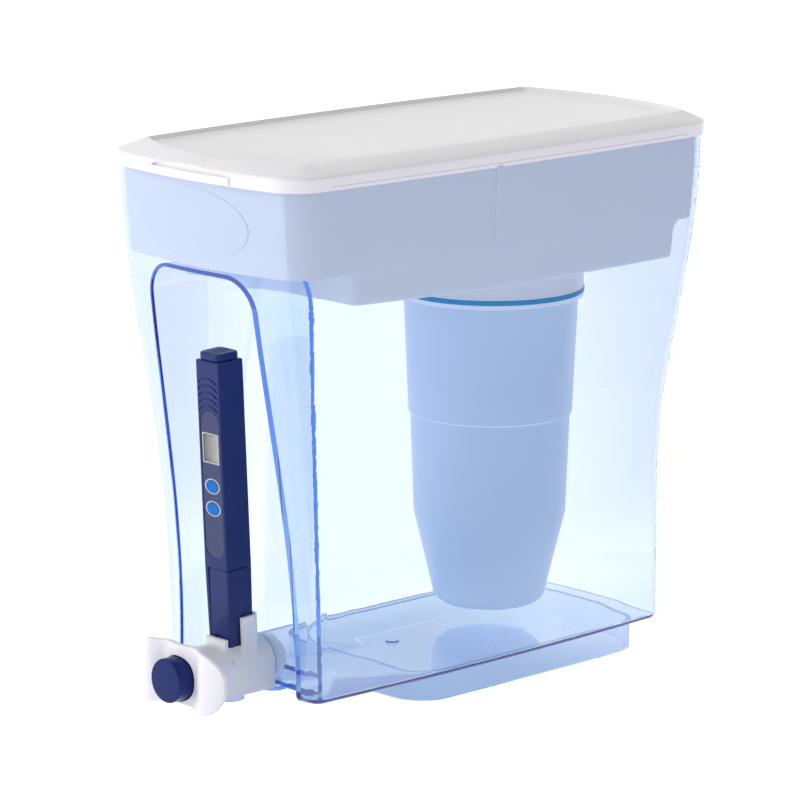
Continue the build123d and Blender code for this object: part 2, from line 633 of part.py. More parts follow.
# ---------------------------------------------------------------- tap
def make_wings():
    """Front plate of the tap, with a curved finger wing on each side."""
    right = [(x, HUB_Y + back) for x, back in WING_CURVE]
    front = [(-x, y) for x, y in reversed(right[1:])] + right
    back = [(x, y + WING_T) for x, y in reversed(front)]
    outline = make_face(Wire([
        Spline(*front), Line(front[-1], back[0]), Spline(*back), Line(back[-1], front[0])]))
    plate = slab(outline, WING_Z - WING_HALF_H, WING_Z + WING_HALF_H)
    half_w = WING_CURVE[-1][0]
    face = Pos(0, WING_Z) * RectangleRounded(2 * half_w, 2 * WING_HALF_H, WING_TIP_R)
    waist_r = (WING_WAIST_HALF ** 2 + WING_WAIST ** 2) / (2 * WING_WAIST)
    face -= Pos(0, WING_Z - WING_HALF_H + WING_WAIST - waist_r) * Circle(waist_r)
    wings = plate & on_y(face, HUB_Y - half_w, HUB_Y + half_w)
    return fillet(wings.edges(), WING_EDGE_R)


def shroud(half, bottom, start, end):
    """Upside-down U section along the tap, from y = start to y = end."""
    arch = Pos(0, TAP_Z) * Circle(half) + Pos(0, (TAP_Z + bottom) / 2) * Rectangle(
        2 * half, TAP_Z - bottom)
    return on_y(arch, start, end)


def meter_place(shape):
    """Puts a shape built on the meter's own upright axis in its leaning place."""
    return Pos(0, NICHE_WALL_Y - METER_OUT, METER_Z) * Rot(METER_LEAN, 0, 0) * shape


def meter_bar(width, depth, radius, low, high):
    """Upright bar on the meter's own axis."""
    return slab(RectangleRounded(width, depth, radius), low, high)


def make_holder():
    width = METER_W + 2 * HOLDER_GAP
    depth = METER_D + 2 * HOLDER_GAP
    wide = width + 2 * HOLDER_WALL
    deep = depth + 2 * HOLDER_WALL
    outer = meter_bar(wide, deep, HOLDER_R, -HOLDER_ROOT, HOLDER_BACK_H)
    tall = outer & Pos(0, -HOLDER_SPLIT, -HOLDER_ROOT) * Box(
        wide, deep, HOLDER_ROOT + HOLDER_BACK_H, align=BACKWARDS)
    low = outer & Pos(0, -HOLDER_SPLIT, -HOLDER_ROOT) * Box(
        2 * HOLDER_FRONT_HALF, deep, HOLDER_ROOT + HOLDER_FRONT_H, align=FORWARDS)
    return meter_place(tall + low)


def make_tap_body():
    body = shroud(SHROUD_R, SHROUD_BOTTOM_Z, HUB_Y + WING_T / 2, NICHE_WALL_Y)
    body += make_wings()
    body += make_holder()
    body -= along_y(BORE_R, HUB_Y - 10, TAP_PLATE_Y)
    body -= shroud(BORE_R, 0.0, HUB_Y + BUTTON_L, TAP_PLATE_Y)
    body -= along_y(RECESS_R, HUB_Y - 10, HUB_Y + RECESS_D)
    body -= along_y(BARREL_R + BARREL_FIT, TAP_PLATE_Y - 1, NICHE_WALL_Y + 1)
    body -= along_y(PLATE_GASKET_R + BARREL_FIT, NICHE_WALL_Y - GASKET_T, NICHE_WALL_Y + 1)
    body -= Pos(SHROUD_R, MARK_Y, MARK_Z) * Box(2 * MARK_IN, MARK_W, MARK_H)
    return body - meter_place(meter_bar(
        METER_W + 2 * HOLDER_GAP, METER_D + 2 * HOLDER_GAP, METER_R, 0.0, CAP_L))


def make_tap_barrel():
    body = along_y(BARREL_R, BARREL_FRONT_Y, BARREL_BACK_Y)
    body += along_y(SHOULDER_R, TAP_PLATE_Y - SHOULDER_T, TAP_PLATE_Y)
    body += Pos(0, SPOUT_AXIS_Y, SPOUT_Z) * Cylinder(SPOUT_R, TAP_Z - SPOUT_Z, align=BOTTOM)
    body -= along_y(BARREL_BORE_R, BARREL_FRONT_Y + BARREL_END_T, BARREL_BACK_Y + 1)
    body -= Pos(0, SPOUT_AXIS_Y, SPOUT_Z) * Cylinder(SPOUT_BORE_R, TAP_Z - SPOUT_Z, align=BOTTOM)
    return body - along_y(STEM_R + BUTTON_FIT, BARREL_FRONT_Y - 1, SPOUT_AXIS_Y)


def make_tap_button():
    body = along_y(BUTTON_R, BUTTON_FACE_Y, BUTTON_FACE_Y + BUTTON_L)
    body = fillet(body.edges().group_by(Axis.Y)[0], BUTTON_EDGE_R)
    body -= along_y(BUTTON_R - BUTTON_SKIN, BUTTON_FLOOR_Y, BUTTON_FACE_Y + BUTTON_L)
    body += along_y(BOSS_R, BUTTON_FLOOR_Y, BUTTON_FLOOR_Y + BOSS_L)
    return body - along_y(STEM_R + RUNNING_FIT, BUTTON_FLOOR_Y, BUTTON_FLOOR_Y + BOSS_L + 1)


def make_tap_stem():
    end = BARREL_BACK_Y + VALVE_T
    body = along_y(STEM_R, BUTTON_FLOOR_Y, end + STEM_COLLAR_T)
    body += along_y(STEM_COLLAR_R, BARREL_BACK_Y - STEM_COLLAR_T, BARREL_BACK_Y)
    return body + along_y(STEM_COLLAR_R, end, end + STEM_COLLAR_T)


def make_valve_seal():
    disc = along_y(VALVE_R, BARREL_BACK_Y, BARREL_BACK_Y + VALVE_T)
    return disc - along_y(STEM_R + RUNNING_FIT, BARREL_BACK_Y - 1, BARREL_BACK_Y + VALVE_T + 1)


def make_gasket(radius, start):
    hole = along_y(BARREL_R + BARREL_FIT, start - 1, start + GASKET_T + 1)
    return along_y(radius, start, start + GASKET_T) - hole


def make_tap_nut():
    ring = Circle(NUT_R) - Circle(BARREL_R + BARREL_FIT)
    for i in range(NUT_SCALLOPS):
        ring -= Rot(0, 0, 360 / NUT_SCALLOPS * i) * Pos(NUT_R + NUT_SCALLOP_R / 2, 0) * Circle(
            NUT_SCALLOP_R)
    return on_y(Pos(0, TAP_Z) * ring, NUT_FRONT_Y, NUT_FRONT_Y + NUT_T)


def make_tap_spring():
    start = BUTTON_FLOOR_Y + SPRING_WIRE_R
    length = BARREL_FRONT_Y - SPRING_WIRE_R - start
    coil = Helix(length / SPRING_TURNS, length, SPRING_R, center=(0, start, TAP_Z),
                 direction=(0, 1, 0))
    wire = Plane(origin=coil @ 0, z_dir=coil % 0) * Circle(SPRING_WIRE_R)
    return sweep(wire, path=coil)


# ---------------------------------------------------------------- water meter
def make_meter_cap():
    outer = loft([
        Pos(0, 0, 0) * RectangleRounded(METER_W - 2 * CAP_TAPER, METER_D - 2 * CAP_TAPER, METER_R),
        Pos(0, 0, CAP_L) * RectangleRounded(METER_W, METER_D, METER_R)])
    gap = 2 * PROBE_NECK_GAP
    outer -= meter_bar(NECK_W + gap, NECK_D + gap, NECK_CORNER_R, CAP_FLOOR, CAP_L + 1)
    front = -METER_D / 2
    outer -= on_y(Pos(0, CAP_L / 2) * Rectangle(CAP_CHANNEL_W, CAP_L), front - 1, front + CAP_CHANNEL)
    arch = Ellipse(CAP_CHANNEL_W / 2, CAP_ARCH_H)
    return meter_place(outer - on_y(arch, front - 1, front + CAP_ARCH))


def key_oval(grow, start, end, z):
    """Oval prism through the meter's front, in the meter's own upright frame."""
    return on_y(Pos(0, z) * Ellipse(KEY_HALF_W + grow, KEY_HALF_H + grow), start, end)


def face_outline(inset):
    """Capsule of the meter's face, as a sketch in x and z."""
    middle = (FACE_LOW + FACE_HIGH) / 2
    return Pos(0, middle) * SlotOverall(FACE_HIGH - FACE_LOW - 2 * inset, FACE_W - 2 * inset,
                                        rotation=90)


def window_opening(grow, start, end):
    sketch = Pos(0, WINDOW_Z) * RectangleRounded(
        WINDOW_W + 2 * grow, WINDOW_H + 2 * grow, WINDOW_R)
    return on_y(sketch, start, end)


def make_case():
    """Both halves of the case as one hollow bar, with its neck and the tray's opening."""
    body = meter_bar(METER_W, METER_D, METER_R, CASE_LOW, METER_L)
    body = fillet(body.edges().group_by(Axis.Z)[-1], CASE_EDGE_R)
    body += meter_bar(NECK_W, NECK_D, NECK_CORNER_R, NECK_LOW, CASE_LOW + 1)
    body -= slab(Rectangle(METER_W - 2 * CASE_WALL, CASE_INNER_D),
                 CASE_LOW + CASE_WALL, METER_L - CASE_WALL)
    body -= meter_bar(NECK_W - 2 * NECK_WALL, NECK_D - 2 * NECK_WALL, NECK_CORNER_R / 2,
                      NECK_LOW - 1, CASE_LOW + 2)
    tray_depth = CELL_COUNT * CELL_T + 2 * TRAY_WALL + 2 * TRAY_GAP
    return body - meter_bar(TRAY_W + 2 * TRAY_GAP, tray_depth + 2 * TRAY_GAP, TRAY_R,
                            METER_L - 2 * CASE_WALL, METER_L + 1)


def make_front_shell():
    body = make_case() & Pos(0, 0, NECK_LOW) * Box(2 * METER_W, METER_D, METER_L, align=FORWARDS)
    front = -METER_D / 2
    body -= on_y(face_outline(0.0), front - 1, front + FACE_T + FACE_INSET)
    body -= window_opening(0.0, front - 1, 0)
    for z in KEY_ZS:
        body -= key_oval(KEY_GAP, front - 1, FRONT_INNER + 1, z)
    for z in RIDGES:
        ring = on_y(Pos(0, z - RIDGE_ARC_R) * (Circle(RIDGE_ARC_R + RIDGE_R)
                                               - Circle(RIDGE_ARC_R - RIDGE_R)),
                    front - 1, front + RIDGE_R)
        body -= ring & Pos(0, front, z - RIDGE_R * 6) * Box(
            METER_W - 2 * METER_R, 4, RIDGE_R * 8, align=BOTTOM)
    return meter_place(body)


def make_back_shell():
    body = make_case() & Pos(0, 0, NECK_LOW) * Box(2 * METER_W, METER_D, METER_L, align=BACKWARDS)
    for z in POST_ZS:
        body += on_y(Pos(0, z) * Circle(POST_R), BOARD_FRONT + BOARD_T, METER_D / 2 - CASE_WALL)
    return meter_place(body)


def make_face_panel():
    front = -METER_D / 2 + FACE_INSET
    body = on_y(face_outline(PANEL_GAP), front, front + FACE_T)
    body -= window_opening(0.0, front - 1, 0)
    for z in KEY_ZS:
        body -= key_oval(KEY_GAP, front - 1, 0, z)
    return meter_place(body)


def make_window():
    back = FRONT_INNER
    return meter_place(window_opening(-PANEL_GAP, back - WINDOW_T, back))


def make_display():
    sketch = Pos(0, WINDOW_Z) * Rectangle(WINDOW_W + 2 * BEZEL_OVER, WINDOW_H + 2 * BEZEL_OVER)
    return meter_place(on_y(sketch, FRONT_INNER, BOARD_FRONT))


def make_key(z):
    front = -METER_D / 2 + FACE_INSET - KEY_PROUD
    body = key_oval(0.0, front, FRONT_INNER, z)
    body += key_oval(KEY_FLANGE, FRONT_INNER, FRONT_INNER + KEY_FLANGE_T, z)
    body += on_y(Pos(0, z) * Circle(KEY_POST_R), FRONT_INNER, KEY_POST_END)
    return meter_place(body)


def make_circuit_board():
    middle = (BOARD_LOW + BOARD_HIGH) / 2
    body = on_y(Pos(0, middle) * Rectangle(BOARD_W, BOARD_HIGH - BOARD_LOW),
                BOARD_FRONT, BOARD_FRONT + BOARD_T)
    for z in KEY_ZS:
        body += on_y(Pos(0, z) * Circle(SWITCH_R), KEY_POST_END + KEY_TRAVEL + KEY_STROKE_ROOM,
                     BOARD_FRONT)
    return meter_place(body)


def make_probe_holder():
    body = meter_bar(NECK_W, NECK_D, NECK_CORNER_R, NECK_LOW - PLUG_FLANGE_T, NECK_LOW)
    body += meter_bar(NECK_W - 2 * NECK_WALL - 2 * HOLDER_GAP, NECK_D - 2 * NECK_WALL - 2 * HOLDER_GAP,
                      NECK_CORNER_R / 2, NECK_LOW, NECK_LOW + PROBE_HOLDER_L)
    for side in (-1, 1):
        body -= Pos(side * PIN_GAP / 2, 0, 0) * Cylinder(
            PIN_R + RUNNING_FIT, METER_L, align=BOTTOM)
    return meter_place(body)


def make_probe_pins():
    low = NECK_LOW - PLUG_FLANGE_T - PIN_L
    high = NECK_LOW + PROBE_HOLDER_L + 2
    pin = Cylinder(PIN_R, high - low, align=BOTTOM)
    return meter_place(Pos(-PIN_GAP / 2, 0, low) * pin + Pos(PIN_GAP / 2, 0, low) * pin)


def make_battery_drawer():
    body = meter_bar(GRIP_W, GRIP_D, GRIP_R, GRIP_LOW, GRIP_LOW + GRIP_H)
    body = fillet(body.edges().group_by(Axis.Z)[-1], GRIP_EDGE_R)
    for i in range(GRIP_GROOVES):
        body -= Pos(2 * GRIP_GROOVE * (i - (GRIP_GROOVES - 1) / 2), 0, GRIP_LOW + GRIP_H) * Box(
            GRIP_GROOVE, GRIP_D - 2 * GRIP_GROOVE_IN, 2 * GRIP_GROOVE)
    cells_depth = CELL_COUNT * CELL_T + 2 * TRAY_GAP
    depth = cells_depth + 2 * TRAY_WALL
    body += meter_bar(TRAY_W, depth, TRAY_R, TRAY_LOW, GRIP_LOW)
    pocket_low = TRAY_LOW + TRAY_WALL
    body -= Pos(0, 0, pocket_low) * Box(TRAY_W, cells_depth, 2 * CELL_R + 2 * TRAY_GAP, align=BOTTOM)
    return meter_place(body)


def make_cells():
    depth = CELL_COUNT * CELL_T
    z = TRAY_LOW + TRAY_WALL + TRAY_GAP + CELL_R
    cell = Pos(0, z) * Circle(CELL_R)
    cells = [on_y(cell, start, start + CELL_T - CELL_LINE)
             for start in (i * CELL_T - depth / 2 for i in range(CELL_COUNT))]
    return meter_place(Part() + cells)


MAKERS = {
    "tank": make_tank,
    "reservoir": make_reservoir,
    "lid": make_lid,
    "filter_seal": make_filter_seal,
    "filter_upper_shell": make_upper_shell,
    "filter_lower_shell": make_lower_shell,
    "filter_inlet_cap": make_inlet_cap,
    "filter_outlet_screen": lambda: fill_layer(TIP_INSIDE_Z, TIP_INSIDE_Z + SCREEN_T),
    "filter_membrane": lambda: fill_layer(TIP_INSIDE_Z + SCREEN_T, RESIN_Z),
    "filter_resin_bed": lambda: fill_layer(RESIN_Z, CARBON_Z),
    "filter_carbon_bed": lambda: fill_layer(CARBON_Z, FOAM_Z),
    "filter_foam": lambda: fill_layer(FOAM_Z, NECK_TOP_Z - SCREEN_T),
    "filter_coarse_screen": lambda: fill_layer(NECK_TOP_Z - SCREEN_T, NECK_TOP_Z),
    "tap_body": make_tap_body,
    "tap_barrel": make_tap_barrel,
    "tap_button": make_tap_button,
    "tap_stem": make_tap_stem,
    "tap_valve_seal": make_valve_seal,
    "tap_outer_gasket": lambda: make_gasket(PLATE_GASKET_R, NICHE_WALL_Y - GASKET_T),
    "tap_inner_gasket": lambda: make_gasket(GASKET_R, NICHE_WALL_Y + WALL),
    "tap_nut": make_tap_nut,
    "tap_spring": make_tap_spring,
    "meter_cap": make_meter_cap,
    "meter_front_shell": make_front_shell,
    "meter_back_shell": make_back_shell,
    "meter_face_panel": make_face_panel,
    "meter_window": make_window,
    "meter_display": make_display,
    "meter_power_button": lambda: make_key(KEY_ZS[0]),
    "meter_hold_button": lambda: make_key(KEY_ZS[1]),
    "meter_circuit_board": make_circuit_board,
    "meter_probe_holder": make_probe_holder,
    "meter_probe_pins": make_probe_pins,
    "meter_battery_drawer": make_battery_drawer,
    "meter_cells": make_cells,
}

if __name__ == "__main__":
    os.makedirs("parts", exist_ok=True)
    for name, maker in MAKERS.items():
        export_step(maker(), f"parts/{name}.step")
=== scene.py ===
"""Looks of a gravity water filter: a clear blue tank with a milky reservoir, a hanging filter
cartridge, a white lid, a push-button tap and a pen-shaped water meter standing on the tap."""

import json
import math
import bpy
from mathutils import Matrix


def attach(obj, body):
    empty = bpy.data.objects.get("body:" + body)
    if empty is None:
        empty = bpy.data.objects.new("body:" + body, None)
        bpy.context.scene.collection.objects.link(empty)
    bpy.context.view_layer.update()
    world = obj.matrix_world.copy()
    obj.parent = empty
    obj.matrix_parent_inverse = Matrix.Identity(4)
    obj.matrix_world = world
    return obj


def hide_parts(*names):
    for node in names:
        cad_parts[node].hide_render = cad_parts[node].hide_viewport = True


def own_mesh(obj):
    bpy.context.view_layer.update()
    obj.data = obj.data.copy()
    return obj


bl_info = {
    "name": "Gravity Water Filter",
    "version": (1, 0, 0),
    "blender": (4, 5, 0),
    "location": "3D View > Sidebar > Water Filter",
    "description": "Dresses the packed water filter: plastics, seals, meter and stage",
    "category": "Object",
}

import bpy
from mathutils import Matrix, Vector

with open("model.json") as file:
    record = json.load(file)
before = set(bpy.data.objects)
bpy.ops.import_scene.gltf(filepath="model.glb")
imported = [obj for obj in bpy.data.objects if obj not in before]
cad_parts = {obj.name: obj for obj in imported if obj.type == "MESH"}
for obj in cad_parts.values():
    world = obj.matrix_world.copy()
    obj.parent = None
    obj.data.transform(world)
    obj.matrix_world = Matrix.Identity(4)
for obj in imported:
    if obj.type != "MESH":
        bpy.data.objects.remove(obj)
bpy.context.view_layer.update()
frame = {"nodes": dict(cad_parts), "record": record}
NODES = frame["nodes"]
MM = 0.001

# Sizes in millimetres, at rest
LINE_W = 0.5                  # printed line on the meter's face
KEY_RING_EXTRA = 0.25         # how much wider that line is round a key
WINDOW = (138.64, 5.5, 7.2)   # height of the display's middle, half width and half height
KEYS = ((119.17, 4.5, 3.2), (107.68, 4.5, 3.2))     # the same of the two keys
DISPLAY_HALF_W = 6.0          # half the width that the display's shade runs across
PAINTED_EDGE_BLUE = (14.2, 16.0)      # heights between which the tank's lower edge is painted a deeper blue: painted shade
EDGE_FADE = 0.5               # how softly that painted band starts and ends
WALL_SHADE = 0.7              # plastic that scattered light is taken to cross at each face
FLOOR_GAP = 0.2               # how far the floor lies under the foot

# Looks
PAINTED_GLOW = 0.13              # painted light: how strongly milky plastic glows in its own colour, though it is no lamp
SAN_IOR = 1.57
POLYPROPYLENE_IOR = 1.49
PLASTIC_IOR = 1.5
CAUGHT_DEPTH = 8.5            # bounces after which light counts as caught in a wall
DYE_HEADROOM = 1.06           # keeps each channel of the dye's colour above 0
DISPLAY_GRAIN = 0.15          # share of the display's colour that its grain gives
GROUND_DIM = 0.25             # how much darker the floor's paper is than its glow
PAINTED_MIRROR_DARK = 0.75            # how dark the floor is painted where only reflections see it: a painted dark reflection
SMOOTH_ANGLE = 32.0           # degrees up to which an edge is shaded smooth
WELD_DISTANCE = 1e-6          # metres within which a CAD mesh's corners are merged


# ---------------------------------------------------------------- colours and nodes
def linear(hex_colour):
    """sRGB hex to linear RGBA: c / 12.92 below 0.04045, else ((c + 0.055) / 1.055) ** 2.4."""
    values = [int(hex_colour[i:i + 2], 16) / 255 for i in (1, 3, 5)]
    values = [v / 12.92 if v < 0.04045 else ((v + 0.055) / 1.055) ** 2.4 for v in values]
    return tuple(values + [1.0])


def add(tree, kind, sockets=None, links=None, **settings):
    """Adds a node, sets its properties and sockets, and links named inputs from other sockets."""
    node = tree.nodes.new(kind)
    for key, value in settings.items():
        setattr(node, key, value)
    for key, value in (sockets or {}).items():
        node.inputs[key].default_value = value
    for key, source in (links or {}).items():
        tree.links.new(source, node.inputs[key])
    return node


def new_material(name):
    """An empty node material: (material, tree, Object coordinates)."""
    mat = bpy.data.materials.new(name)
    mat.use_nodes = True
    tree = mat.node_tree
    tree.nodes.clear()
    place = add(tree, "ShaderNodeTexCoord").outputs["Object"]
    return mat, tree, place


def close_material(tree, surface, volume=None):
    """Ends a material's tree with its surface and, if it has one, its volume."""
    links = {"Surface": surface}
    if volume is not None:
        links["Volume"] = volume
    add(tree, "ShaderNodeOutputMaterial", links=links)


def maths(tree, operation, a, b=None):
    """One Math node; a and b are sockets or numbers."""
    node = add(tree, "ShaderNodeMath", operation=operation)
    for slot, value in enumerate((a, b)):
        if isinstance(value, (int, float)):
            node.inputs[slot].default_value = value
        elif value is not None:
            tree.links.new(value, node.inputs[slot])
    return node.outputs[0]


def blend(tree, factor, low, high, how="MIX"):
    """Mix of two hex colours or colour sockets, by a factor that is a socket or a number."""
    node = add(tree, "ShaderNodeMix", data_type="RGBA", blend_type=how)
    share = next(i for i in node.inputs if i.name == "Factor" and i.type == "VALUE")
    sockets = [i for i in node.inputs if i.type == "RGBA"]
    for socket, value in zip([share] + sockets, (factor, low, high)):
        if isinstance(value, str):
            socket.default_value = linear(value)
        elif isinstance(value, (int, float)):
            socket.default_value = value
        else:
            tree.links.new(value, socket)
    return next(o for o in node.outputs if o.type == "RGBA")


def eased(tree, value, start, end):
    """0 at start, 1 at end, eased between them."""
    return add(tree, "ShaderNodeMapRange", {"From Min": start, "From Max": end}, {"Value": value},
               interpolation_type="SMOOTHSTEP").outputs["Result"]


def along(tree, place):
    """The three coordinates of a place, as sockets X, Y and Z."""
    return add(tree, "ShaderNodeSeparateXYZ", links={"Vector": place}).outputs


def grains(tree, place, size_mm, detail):
    """Noise whose grains are size_mm apart."""
    return add(tree, "ShaderNodeTexNoise", {"Scale": 1.0 / (size_mm * MM), "Detail": detail},
               {"Vector": place}).outputs["Fac"]


def moulded_bump(tree, place, grain_mm, depth_mm, strength=0.5):
    """Bump of a moulded skin: noise of one grain size, depth in millimetres."""
    return add(tree, "ShaderNodeBump", {"Strength": strength, "Distance": depth_mm * MM},
               {"Height": grains(tree, place, grain_mm, 3.0)}).outputs["Normal"]


def tinted(tree, place, low, high, size_mm):
    """Slow colour variation between two colours over patches of size_mm."""
    return blend(tree, grains(tree, place, size_mm, 2.0), low, high)


def moulded_clear_san(name, absorb, wave=0.01, rough=0.01, edge=None):
    """Injection-moulded styrene-acrylonitrile with a blue dye: glass-clear and faintly wavy, pale
    where the eye looks through a wall and royal blue where it looks along one. Lamps and scattered
    light pass straight through with a little of the dye, and light that stays caught in a wall
    leaves it at its edge. The edge is a band of painted shade, a deeper blue, given as its two
    heights."""
    mat, tree, place = new_material(name)
    bump = moulded_bump(tree, place, 45.0, 0.06, wave)
    clear = add(tree, "ShaderNodeBsdfPrincipled", {
        "Base Color": (1, 1, 1, 1), "Roughness": rough, "IOR": SAN_IOR, "Transmission Weight": 1.0,
    }, {"Normal": bump})
    if edge:
        z = along(tree, place)["Z"]
        low, high = edge
        # Painted shade: between the two heights the clear plastic is tinted a deeper blue.
        band = maths(tree, "MULTIPLY", eased(tree, z, low * MM, (low + EDGE_FADE) * MM),
                     eased(tree, z, (high + EDGE_FADE) * MM, high * MM))
        tree.links.new(blend(tree, band, "#FFFFFF", "#4C70D8"), clear.inputs["Base Color"])
    path = add(tree, "ShaderNodeLightPath").outputs
    scattered = maths(tree, "MAXIMUM", path["Is Shadow Ray"], path["Is Diffuse Ray"])
    caught = maths(tree, "GREATER_THAN", path["Ray Depth"], CAUGHT_DEPTH)
    through = maths(tree, "MAXIMUM", scattered, caught)
    shade = [math.exp(-a * WALL_SHADE * MM) for a in absorb] + [1.0]
    straight = add(tree, "ShaderNodeBsdfTransparent", {"Color": shade})
    both = add(tree, "ShaderNodeMixShader",
               links={0: through, 1: clear.outputs[0], 2: straight.outputs[0]})
    top = max(absorb) * DYE_HEADROOM
    dye = add(tree, "ShaderNodeVolumeAbsorption", {
        "Color": tuple([1 - a / top for a in absorb] + [1.0]), "Density": top})
    close_material(tree, both.outputs[0], dye.outputs[0])
    return mat


def natural_polypropylene(name, low, high, glow_share, clear_share=0.0, painted_highlight_rings=()):
    """Moulded natural polypropylene: scatters light like thin milk, with a smooth, waxy skin. It
    also glows faintly in its own colour: painted light, as it is no lamp. Rings of it, given as
    height, half height and colour, are painted paler: painted highlights."""
    mat, tree, place = new_material(name)
    colour = tinted(tree, place, low, high, 60.0)
    z = along(tree, place)["Z"] if painted_highlight_rings else None
    # Painted highlights: each ring is painted in its own paler colour.
    for z0, half, tone in painted_highlight_rings:
        off = maths(tree, "ABSOLUTE", maths(tree, "SUBTRACT", z, z0 * MM))
        colour = blend(tree, maths(tree, "LESS_THAN", off, half * MM), colour, tone)
    bump = moulded_bump(tree, place, 1.2, 0.01, 0.3)
    # Painted light: the emission makes the plastic glow faintly in its own colour, though it is no
    # lamp.
    skin = add(tree, "ShaderNodeBsdfPrincipled", {
        "Roughness": 0.3, "IOR": POLYPROPYLENE_IOR, "Emission Strength": PAINTED_GLOW,
    }, {"Base Color": colour, "Normal": bump, "Emission Color": colour})
    glow = add(tree, "ShaderNodeBsdfTranslucent", links={"Color": colour, "Normal": bump})
    surface = add(tree, "ShaderNodeMixShader", {0: glow_share},
                  {1: skin.outputs[0], 2: glow.outputs[0]}).outputs[0]
    if clear_share > 0:
        gap = add(tree, "ShaderNodeBsdfTransparent", {"Color": linear(high)})
        surface = add(tree, "ShaderNodeMixShader", {0: clear_share},
                      {1: surface, 2: gap.outputs[0]}).outputs[0]
    close_material(tree, surface)
    return mat


def solid_plastic(name, low, high, rough, grain_mm=0.8, depth_mm=0.01, metal=0.0, gloss=0.5):
    """Opaque part: colour that drifts slightly, a fine skin grain and a soft gloss. Metal parts
    keep the default IOR, which is also that of the plastics."""
    mat, tree, place = new_material(name)
    colour = tinted(tree, place, low, high, 25.0)
    bump = moulded_bump(tree, place, grain_mm, depth_mm, 0.35)
    body = add(tree, "ShaderNodeBsdfPrincipled", {
        "Roughness": rough, "IOR": PLASTIC_IOR, "Metallic": metal, "Specular IOR Level": gloss,
    }, {"Base Color": colour, "Normal": bump})
    close_material(tree, body.outputs[0])
    return mat


def ellipse_share(tree, place, z0, half_w, half_h):
    """Distance from an ellipse's middle at x = 0 and height z0, as a share of its edge's."""
    parts = along(tree, place)
    x = maths(tree, "DIVIDE", parts["X"], half_w * MM)
    z = maths(tree, "DIVIDE", maths(tree, "SUBTRACT", parts["Z"], z0 * MM), half_h * MM)
    squares = [maths(tree, "MULTIPLY", value, value) for value in (x, z)]
    return maths(tree, "SQRT", maths(tree, "ADD", *squares))


def outside_rectangle(tree, place, z0, half_w, half_h):
    """Distance in metres outside a rectangle whose middle is at x = 0 and height z0."""
    parts = along(tree, place)
    height = maths(tree, "SUBTRACT", parts["Z"], z0 * MM)
    over = []
    for value, half in ((parts["X"], half_w), (height, half_h)):
        beyond = maths(tree, "SUBTRACT", maths(tree, "ABSOLUTE", value), half * MM)
        beyond = maths(tree, "MAXIMUM", beyond, 0.0)
        over.append(maths(tree, "MULTIPLY", beyond, beyond))
    return maths(tree, "SQRT", maths(tree, "ADD", *over))


def printed_film(name, low, high, line, window, keys):
    """Slate film with a printed cream line round the display and round each key."""
    mat, tree, place = new_material(name)
    mask = maths(tree, "LESS_THAN", outside_rectangle(tree, place, *window), LINE_W * MM)
    for z0, half_w, half_h in keys:
        grown = 1.0 + (LINE_W + KEY_RING_EXTRA) / half_h
        inside = maths(tree, "LESS_THAN", ellipse_share(tree, place, z0, half_w, half_h), grown)
        mask = maths(tree, "MAXIMUM", mask, inside)
    colour = blend(tree, mask, tinted(tree, place, low, high, 25.0), line)
    body = add(tree, "ShaderNodeBsdfPrincipled", {"Roughness": 0.4, "Specular IOR Level": 0.4},
               {"Base Color": colour, "Normal": moulded_bump(tree, place, 0.8, 0.01, 0.3)})
    close_material(tree, body.outputs[0])
    return mat


def liquid_crystal(name, left, right):
    """Blank display film: olive grey that pales from its shaded left side to its right."""
    mat, tree, place = new_material(name)
    across = add(tree, "ShaderNodeMapRange", {
        "From Min": -DISPLAY_HALF_W * MM, "From Max": DISPLAY_HALF_W * MM,
    }, {"Value": along(tree, place)["X"]})
    grain = tinted(tree, place, left, right, 4.0)
    colour = blend(tree, across.outputs["Result"], left, right)
    body = add(tree, "ShaderNodeBsdfPrincipled", {"Roughness": 0.35},
               {"Base Color": blend(tree, DISPLAY_GRAIN, colour, grain)})
    close_material(tree, body.outputs[0])
    return mat


# ---------------------------------------------------------------- helpers
def paint(node, mat):
    """Gives a CAD node that keeps its own shape its finish."""
    obj = NODES[node]
    obj.data.materials.clear()
    obj.data.materials.append(mat)
    return obj


def body_of_node(node):
    """The moving body that a CAD node belongs to."""
    for body, nodes in frame["record"]["behaviour"]["bodies"].items():
        if node in nodes:
            return body
    raise ValueError(node)


def smooth_copy(node, mat):
    """A merged, smoothly shaded copy of a CAD node that stands in for it."""
    source = NODES[node]
    mesh = source.data.copy()
    mesh.name = node + "_skin"
    obj = bpy.data.objects.new(node + "_skin", mesh)
    bpy.context.scene.collection.objects.link(obj)
    merge = obj.modifiers.new("merge", "WELD")
    merge.merge_threshold = WELD_DISTANCE
    graph = bpy.context.evaluated_depsgraph_get()
    clean = bpy.data.meshes.new_from_object(obj.evaluated_get(graph))
    obj.modifiers.clear()
    obj.data = clean
    bpy.data.meshes.remove(mesh)
    clean.name = node + "_skin"
    if clean.attributes.get("custom_normal"):
        clean.attributes.remove(clean.attributes["custom_normal"])
    clean.shade_smooth()
    clean.set_sharp_from_angle(angle=math.radians(SMOOTH_ANGLE))
    clean.materials.clear()
    clean.materials.append(mat)
    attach(obj, body_of_node(node))
    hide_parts(node)
    return obj


# ---------------------------------------------------------------- settings
class WaterFilterTank(bpy.types.PropertyGroup):
    absorb: bpy.props.FloatVectorProperty(
        name="Dye",
        description="How strongly the clear plastic takes up red, green and blue, per metre",
        default=(68.0, 39.0, 10.0), size=3, min=0.0)


